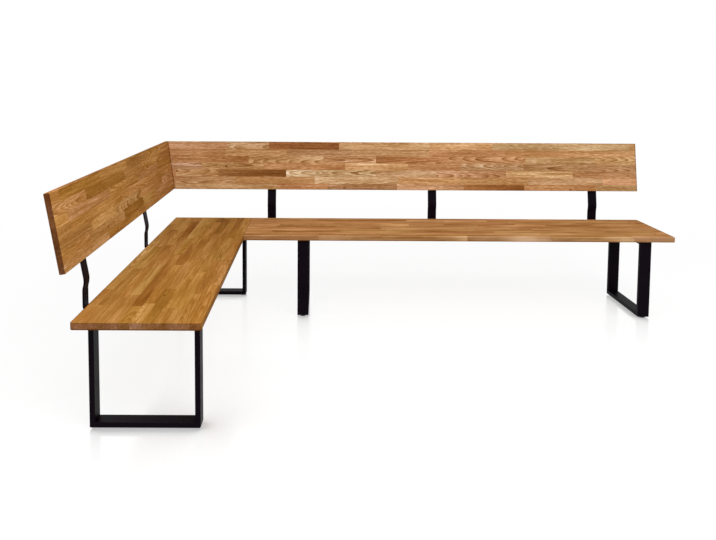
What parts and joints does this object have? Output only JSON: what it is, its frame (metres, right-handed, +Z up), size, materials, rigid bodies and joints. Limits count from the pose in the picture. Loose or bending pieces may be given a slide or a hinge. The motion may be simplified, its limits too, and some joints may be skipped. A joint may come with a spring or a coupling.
{
  "type": "corner bench",
  "caption": "L-shaped dining corner bench: oak plank seats and reclined oak backrests on black steel sled-type leg frames, with bent flat-bar back brackets.",
  "frame": {"origin": "on the floor, under the middle of the bench's outer box", "axes": "+X along the long bench away from the corner, +Y to the back of the long bench, +Z up"},
  "size_m": [2.8094, 1.8194, 0.8912],
  "materials": {
    "seat_oak": "oiled stave-glued oak",
    "backrest_oak": "oiled stave-glued oak",
    "black_steel": "matt black powder coat",
    "screw_steel": "black-finished steel",
    "insert_steel": "zinc plated",
    "glide_plastic": "black nylon"
  },
  "bodies": {
    "root": {"backrest_corner_plate": "black_steel", "backrest_corner_screws": "screw_steel", "corner_leg_back_upright": "black_steel", "corner_leg_floor_rail": "black_steel", "corner_leg_front_upright": "black_steel", "corner_leg_glides": "glide_plastic", "corner_leg_screws": "screw_steel", "corner_leg_top_rail": "black_steel", "long_back_bracket_corner": "black_steel", "long_back_bracket_end": "black_steel", "long_back_bracket_middle": "black_steel", "long_backrest_board": "backrest_oak", "long_bracket_back_screws": "screw_steel", "long_bracket_seat_screws": "screw_steel", "long_end_leg_back_upright": "black_steel", "long_end_leg_floor_rail": "black_steel", "long_end_leg_front_upright": "black_steel", "long_end_leg_glides": "glide_plastic", "long_end_leg_screws": "screw_steel", "long_end_leg_top_rail": "black_steel", "long_inner_leg_back_upright": "black_steel", "long_inner_leg_floor_rail": "black_steel", "long_inner_leg_front_upright": "black_steel", "long_inner_leg_glides": "glide_plastic", "long_inner_leg_screws": "screw_steel", "long_inner_leg_top_rail": "black_steel", "long_seat_board": "seat_oak", "long_seat_inserts": "insert_steel", "seat_seam_plate_front": "black_steel", "seat_seam_plate_rear": "black_steel", "seat_seam_screws": "screw_steel", "short_back_bracket_corner": "black_steel", "short_back_bracket_end": "black_steel", "short_backrest_board": "backrest_oak", "short_bracket_back_screws": "screw_steel", "short_bracket_seat_screws": "screw_steel", "short_end_leg_back_upright": "black_steel", "short_end_leg_floor_rail": "black_steel", "short_end_leg_front_upright": "black_steel", "short_end_leg_glides": "glide_plastic", "short_end_leg_screws": "screw_steel", "short_end_leg_top_rail": "black_steel", "short_seat_board": "seat_oak", "short_seat_inserts": "insert_steel"}
  },
  "joints": []
}
